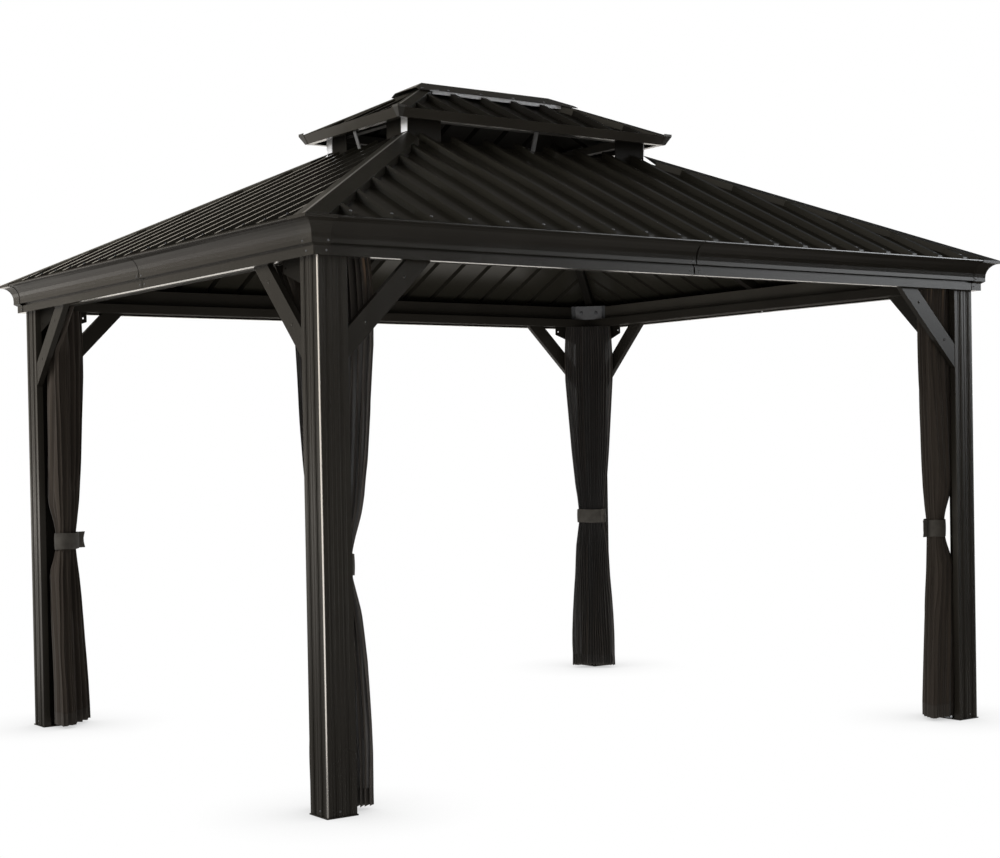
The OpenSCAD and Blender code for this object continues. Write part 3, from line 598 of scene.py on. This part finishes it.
def build_ties(corner, seed):
    """The band round a net: wrapped once with an overlap, its notched end standing free on the room
    side."""
    sx, sy = CORNER_SIGNS[corner]
    inward = np.array([-sx, -sy]) / ROOT_TWO
    aside = np.array([-inward[1], inward[0]])
    line, way = tie_line(corner, seed)
    slope = np.gradient(line, axis=0)
    outward = np.stack([slope[:, 1], -slope[:, 0]], axis=1) / np.linalg.norm(slope, axis=1)[:, None]
    levels = np.linspace(tie_low.z, tie_high.z, TIE_LEVELS)
    points = []
    for n, middle in enumerate(line):
        sag = TIE_SAG * math.sin(3.0 * TIE_TURNS[min(n, len(TIE_TURNS) - 1)] + seed)
        for skin in (-0.5, 0.5):
            for m, z in enumerate(levels):
                up = m / (TIE_LEVELS - 1)
                belly = TIE_BELLY * math.sin(math.pi * up)
                run = middle + outward[n] * (skin * TIE_THICK + belly)
                if n == len(line) - 1:
                    run = run - way * TAIL_NOTCH * (1.0 - abs(2.0 * up - 1.0))
                at = run[0] * inward + run[1] * aside + np.array([sx * corner_x, sy * corner_y])
                points.append((at[0], at[1], z + sag))
    faces = band_faces(len(line), TIE_LEVELS)
    piece = new_piece("tie_band_" + corner, points, faces, tie_cloth)
    shell = bmesh.new()
    shell.from_mesh(piece.data)
    bmesh.ops.recalc_face_normals(shell, faces=shell.faces)
    shell.to_mesh(piece.data)
    shell.free()
    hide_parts("net_ties")
    return piece


for number, corner in enumerate(CORNERS):
    band = build_ties(corner, 40 + number)
    net = build_net(corner, 70 + number)


# Screws and bolts

DOWN, INWARD = (0.0, 0.0, -1.0), (0.0, 1.0, 0.0)
# A height or distance that is outside the object
FAR = 4.0
# Radius and height of the heads, and a washer's size in heads
ROOF_HEAD, FRAME_HEAD = (0.0042, 0.0036), (0.0028, 0.0020)
BRACE_HEAD, PLATE_HEAD = (0.0042, 0.0022), (0.0065, 0.0050)
WASHER_WIDE, WASHER_THICK = 1.5, 0.5
# Step of the roof's ribs, how far in from the eave their screws are, and those on a quarter of the
# ridge cap
RIB_STEP, RIB_SCREW = 0.167, 0.060
RIDGE_SCREWS = ((0.418, 0.098), (0.27, 0.086), (0.09, 0.086))
# A brace's two bolts: in from the post's outer face and down from the beam
BRACE_BOLTS = ((0.190, 0.2335), (0.3555, 0.070))
# The cornice's screws: up from its foot, and aside from its corner or its seam
CORNICE_SCREWS, CORNICE_ASIDE = (0.016, 0.049), 0.022
# A foot's screw: in from the post's outer face, and up
FOOT_IN, FOOT_UP = 0.0515, 0.022
# A corner plate's bolts: each side of its middle and up, as seen from a point this far in from the corner
PLATE_ASIDE, PLATE_UP, PLATE_ROOM = 0.03, 0.08, 0.4


def head_tree():
    """Geometry Nodes: a domed head on a washer at each point, facing the way of the point's attribute."""
    tree = bpy.data.node_groups.new("screw_heads", "GeometryNodeTree")
    for name, kind in (("Points", "Geometry"), ("Radius", "Float"), ("Height", "Float"),
                       ("Seed", "Int"), ("Finish", "Material")):
        tree.interface.new_socket(name, in_out="INPUT", socket_type="NodeSocket" + kind)
    tree.interface.new_socket("Heads", in_out="OUTPUT", socket_type="NodeSocketGeometry")
    start = Wire(tree)
    given = tree.nodes.new("NodeGroupInput")
    points, radius, height, seed, finish = (Wire(tree, given.outputs[n]) for n in range(5))
    dome = start.node("GeometryNodeMeshUVSphere", None, {"Segments": 12, "Rings": 6, "Radius": 1.0})
    size = start.node("ShaderNodeCombineXYZ", None, {"X": radius, "Y": radius, "Z": height})
    dome = start.node("GeometryNodeTransform", None, {"Geometry": dome, "Scale": size})
    washer = start.node("GeometryNodeMeshCylinder", None, {"Vertices": 14, "Radius": 1.0, "Depth": 1.0})
    wide, thick = WASHER_WIDE * radius, WASHER_THICK * height
    size = start.node("ShaderNodeCombineXYZ", None, {"X": wide, "Y": wide, "Z": thick})
    washer = start.node("GeometryNodeTransform", None, {"Geometry": washer, "Scale": size})
    head = tree.nodes.new("GeometryNodeJoinGeometry")
    for part in (dome, washer):
        tree.links.new(part.socket, head.inputs[0])
    facing = start.node("GeometryNodeInputNamedAttribute", {"data_type": "FLOAT_VECTOR"},
                        {"Name": "facing"})
    turn = start.node("FunctionNodeAlignRotationToVector", {"axis": "Z"}, {"Vector": facing})
    spin = start.node("FunctionNodeRandomValue", {"data_type": "FLOAT"},
                      {2: 0.0, 3: 2.0 * math.pi, "Seed": seed}, out=1)
    spin = start.node("FunctionNodeAxisAngleToRotation", None, {"Axis": (0.0, 0.0, 1.0), "Angle": spin})
    turn = start.node("FunctionNodeRotateRotation", {"rotation_space": "LOCAL"},
                      {"Rotation": turn, "Rotate By": spin})
    placed = start.node("GeometryNodeInstanceOnPoints", None,
                        {"Points": points, "Instance": Wire(tree, head.outputs[0]), "Rotation": turn})
    placed = start.node("GeometryNodeRealizeInstances", None, {"Geometry": placed})
    placed = start.node("GeometryNodeSetMaterial", None, {"Geometry": placed, "Material": finish})
    tree.links.new(placed.socket, tree.nodes.new("NodeGroupOutput").inputs[0])
    return tree


def build_heads(tree, name, spots, size, seed, finish):
    """One piece of all the screw heads on the given spots."""
    cloud = bpy.data.meshes.new(name)
    cloud.from_pydata([tuple(at) for at, _ in spots], [], [])
    facing = cloud.attributes.new("facing", "FLOAT_VECTOR", "POINT")
    facing.data.foreach_set("vector", [v for _, way in spots for v in way])
    piece = bpy.data.objects.new(name, cloud)
    bpy.context.scene.collection.objects.link(piece)
    grown = piece.modifiers.new("heads", "NODES")
    grown.node_group = tree
    values = {"Radius": size[0], "Height": size[1], "Seed": seed, "Finish": finish}
    for item in tree.interface.items_tree:
        if item.name in values:
            grown[item.identifier] = values[item.name]
    shown = piece.evaluated_get(bpy.context.evaluated_depsgraph_get())
    piece.data = bpy.data.meshes.new_from_object(shown)
    piece.modifiers.remove(grown)
    piece.data.polygons.foreach_set("use_smooth", [True] * len(piece.data.polygons))
    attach(piece, "root")


def spot(node, start, way):
    """The place where a ray meets a CAD node, with the way its surface faces there."""
    found, at, facing, _ = frame["nodes"][node].ray_cast(Vector(start), Vector(way))
    return [(at, facing)] if found else []


def side_spot(number, node, along, across, height, way):
    """A spot in the frame of a side: along it, out from the middle and up."""
    turn = Matrix.Rotation(math.pi / 2 * number, 3, "Z")
    return spot(node, turn @ Vector((along, -across, height)), turn @ Vector(way))


def roof_spots():
    """Screws on the ribs' lower ends and on the ridge cap."""
    spots = []
    for number, side in enumerate(SIDES):
        half, across = (eave_x, eave_y) if number % 2 == 0 else (eave_y, eave_x)
        last = int(half / RIB_STEP - 0.5)
        for k in range(-last, last):
            spots += side_spot(number, side + "_roof", RIB_STEP * (k + 0.5), across - RIB_SCREW, FAR, DOWN)
    for sx, sy in CORNER_SIGNS.values():
        for x, y in RIDGE_SCREWS:
            spots += spot("ridge_cap", (sx * x, sy * y, FAR), DOWN)
    return spots


def frame_spots():
    """Bolts on the braces, and screws on the posts' feet, the cornice covers and the seams."""
    bolts, screws = [], []
    for number, side in enumerate(SIDES):
        half = corner_x if number % 2 == 0 else corner_y
        for end in (-1, 1):
            for inset, drop in BRACE_BOLTS:
                along, z = end * (half - inset), beam_z - drop
                bolts += side_spot(number, side + "_braces", along, FAR, z, INWARD)
            by_corner, by_seam = end * (half - CORNICE_ASIDE), end * CORNICE_ASIDE
            for up in CORNICE_SCREWS:
                z = cornice_low.z + up
                screws += side_spot(number, "cornice_corners", by_corner, FAR, z, INWARD)
                screws += side_spot(number, side + "_cornice", by_seam, FAR, z, INWARD)
            corner = CORNERS[number if end < 0 else (number + 1) % 4]
            screws += side_spot(number, "post_" + corner, end * (half - FOOT_IN), FAR, FOOT_UP, INWARD)
    return bolts, screws


def plate_spots():
    """Bolts on the inside of the diagonal corner plates."""
    spots = []
    for sx, sy in CORNER_SIGNS.values():
        for aside in (-PLATE_ASIDE, PLATE_ASIDE):
            x, y = corner_x - PLATE_ROOM + aside, corner_y - PLATE_ROOM - aside
            spots += spot("corner_plates", (sx * x, sy * y, beam_z + PLATE_UP), (sx, sy, 0.0))
    return spots


bpy.context.view_layer.update()
heads = head_tree()
brace_bolts, frame_screws = frame_spots()
build_heads(heads, "roof_screws", roof_spots(), ROOF_HEAD, 3, plate_steel)
build_heads(heads, "frame_screws", frame_screws, FRAME_HEAD, 5, plate_steel)
build_heads(heads, "brace_bolts", brace_bolts, BRACE_HEAD, 7, frame_coat)
build_heads(heads, "plate_bolts", plate_spots(), PLATE_HEAD, 9, plate_steel)


# Stage

WHITE = (1.0, 1.0, 1.0)
FLOOR_HALF = 40.0
# What the coat mirrors of the floor: near the object, under its middle, far behind, on the left, and a
# strip at the front left
FLOOR_NEAR, FLOOR_UNDER, FLOOR_FAR, FLOOR_LEFT, FLOOR_STRIP = 0.18, 0.45, 2.0, 0.32, 1.5
# How much further away the bright floor starts on the left
FAR_SHIFT = 12.0
# The light that the floor sends back, and its tint in that and in the coat
FLOOR_BOUNCE, FLOOR_WARM = 0.64, (1.0, 0.95, 0.88)
# How far the soft shadow reaches, and how dark it can get
SHADOW_REACH, SHADOW_DEPTH = 0.45, 0.5
# Light of the sky: all round, on the left and what the coat mirrors there, and from the front
SKY_ALL, SKY_LEFT, LEFT_GLINT, SKY_FRONT = 0.07, 0.5, 1.0, 0.05
# What the coat mirrors at the front right: a cool window low down, and a bright one above it
COOL_GLINT, HIGH_GLINT = 4.6, 9.0
SKY_WARM, SKY_COOL = (1.0, 0.92, 0.80), (0.94, 0.97, 1.0)


def studio_floor():
    """White to the camera, with a soft shadow where the object stands; in the coat it mirrors dark under
    the object and bright far behind it. Places on it are in metres."""
    mesh = bpy.data.meshes.new("floor")
    mesh.from_pydata([(x * FLOOR_HALF, y * FLOOR_HALF, 0.0) for x, y in CORNER_SIGNS.values()],
                     [], [(0, 1, 2, 3)])
    floor = bpy.data.objects.new("floor", mesh)
    bpy.context.scene.collection.objects.link(floor)
    material, start, output = new_material("floor_white")
    place = object_place(start)
    east, north = place.axis("X"), place.axis("Y")
    seen, glossy, through = (start.node("ShaderNodeLightPath", out="Is " + kind + " Ray")
                             for kind in ("Camera", "Glossy", "Transmission"))
    plain = start.maths("MINIMUM", seen + through, 1.0)
    west = (-east).eased(0.0, 2.0)
    near = FLOOR_NEAR * (1.0 - east.eased(2.0, 5.0))
    under = FLOOR_UNDER * east.eased(-1.0, 0.5) * north.within(0.8, 1.6, 3.0, 5.0)
    far = FLOOR_FAR * (north - FAR_SHIFT * west).eased(4.0, 13.0)
    left = FLOOR_LEFT * west * north.eased(1.5, 4.0)
    strip = FLOOR_STRIP * (-east).eased(2.2, 2.9) * (-north).eased(1.5, 2.0)
    light = start.node("ShaderNodeAmbientOcclusion", {"samples": 8}, {"Distance": SHADOW_REACH}, out="AO")
    level = plain * (1.0 - SHADOW_DEPTH * (1.0 - light)) + glossy * (near + under + far + left + strip)
    level = level + (1.0 - start.maths("MINIMUM", plain + glossy, 1.0)) * FLOOR_BOUNCE
    glow = start.node("ShaderNodeEmission", None,
                      {"Color": plain.between(FLOOR_WARM, WHITE), "Strength": level})
    start.tree.links.new(glow.socket, output.inputs["Surface"])
    mesh.materials.append(material)


def studio_world():
    """Bright low behind the object, cool at the front right, dim above; plain white to the camera.
    Directions are parts of a unit vector."""
    world = bpy.data.worlds.new("studio")
    bpy.context.scene.world = world
    world.use_nodes = True
    tree = world.node_tree
    tree.nodes.clear()
    start = Wire(tree)
    way = start.node("ShaderNodeTexCoord", out="Generated")
    east, north, height = (way.axis(letter) for letter in "XYZ")
    west, south = -east, -north
    seen, glossy = (start.node("ShaderNodeLightPath", out="Is " + kind + " Ray")
                    for kind in ("Camera", "Glossy"))
    across = 0.18 + 0.22 * east.eased(-0.55, -0.33) + 0.76 * east.eased(-0.3, 0.25)
    behind = north.eased(0.15, 0.6) * across * (1.0 - height.eased(0.20, 0.36))
    beside = west.eased(0.4, 0.9) * (1.0 - north.eased(0.15, 0.6)) * (1.0 - height.eased(0.5, 0.8))
    cool = east.eased(0.62, 0.74) * south.eased(0.2, 0.5) * height.within(0.06, 0.10, 0.3, 0.6)
    above = east.eased(0.64, 0.76) * south.eased(0.18, 0.34) * height.within(0.20, 0.30, 0.56, 0.66)
    level = SKY_ALL + behind + beside * (SKY_LEFT + LEFT_GLINT * glossy) + SKY_FRONT * south.eased(0.2, 0.7)
    level = level + glossy * (COOL_GLINT * cool + HIGH_GLINT * above)
    tint = east.eased(0.48, 0.74).between(SKY_WARM, SKY_COOL)
    sky = start.node("ShaderNodeBackground", None,
                     {"Color": seen.between(tint, WHITE), "Strength": seen + (1.0 - seen) * level})
    output = tree.nodes.new("ShaderNodeOutputWorld")
    tree.links.new(sky.socket, output.inputs["Surface"])


def soft_lamp(name, at, target, size, watts):
    """A square lamp that lights the object but is seen neither by the camera nor in the coat."""
    data = bpy.data.lights.new(name, "AREA")
    data.shape = "RECTANGLE"
    data.size, data.size_y = size, size
    data.energy = watts
    lamp = bpy.data.objects.new(name, data)
    lamp.location = at
    lamp.rotation_euler = (Vector(target) - Vector(at)).to_track_quat("-Z", "Y").to_euler()
    lamp.visible_camera = False
    lamp.visible_glossy = False
    bpy.context.scene.collection.objects.link(lamp)


def place_camera():
    """The photograph's camera."""
    data = bpy.data.cameras.new("photo_camera")
    data.sensor_width = SENSOR
    data.lens = CAMERA_FOCUS * SENSOR / FRAME_WIDTH
    data.shift_y = CAMERA_DROP / FRAME_WIDTH
    data.clip_end = 100.0
    camera = bpy.data.objects.new("photo_camera", data)
    heading, pitch, roll = (math.radians(v) for v in (CAMERA_HEADING, CAMERA_PITCH, CAMERA_ROLL))
    turn = Matrix.Rotation(-heading, 4, "Z") @ Matrix.Rotation(math.pi / 2 + pitch, 4, "X")
    camera.matrix_world = Matrix.Translation(CAMERA_AT) @ turn @ Matrix.Rotation(roll, 4, "Z")
    bpy.context.scene.collection.objects.link(camera)
    bpy.context.scene.camera = camera


studio_floor()
studio_world()
soft_lamp("left_softbox", (-7.0, 0.5, 4.5), (0.0, 0.0, 1.6), 3.0, 430.0)
soft_lamp("front_softbox", (-3.5, -7.0, 2.0), (0.0, 0.0, 1.8), 3.4, 70.0)
soft_lamp("inner_softbox", (-0.3, -0.3, 0.3), (1.5, 1.3, 1.6), 1.5, 26.0)
place_camera()
bpy.context.scene.view_settings.view_transform = "Standard"
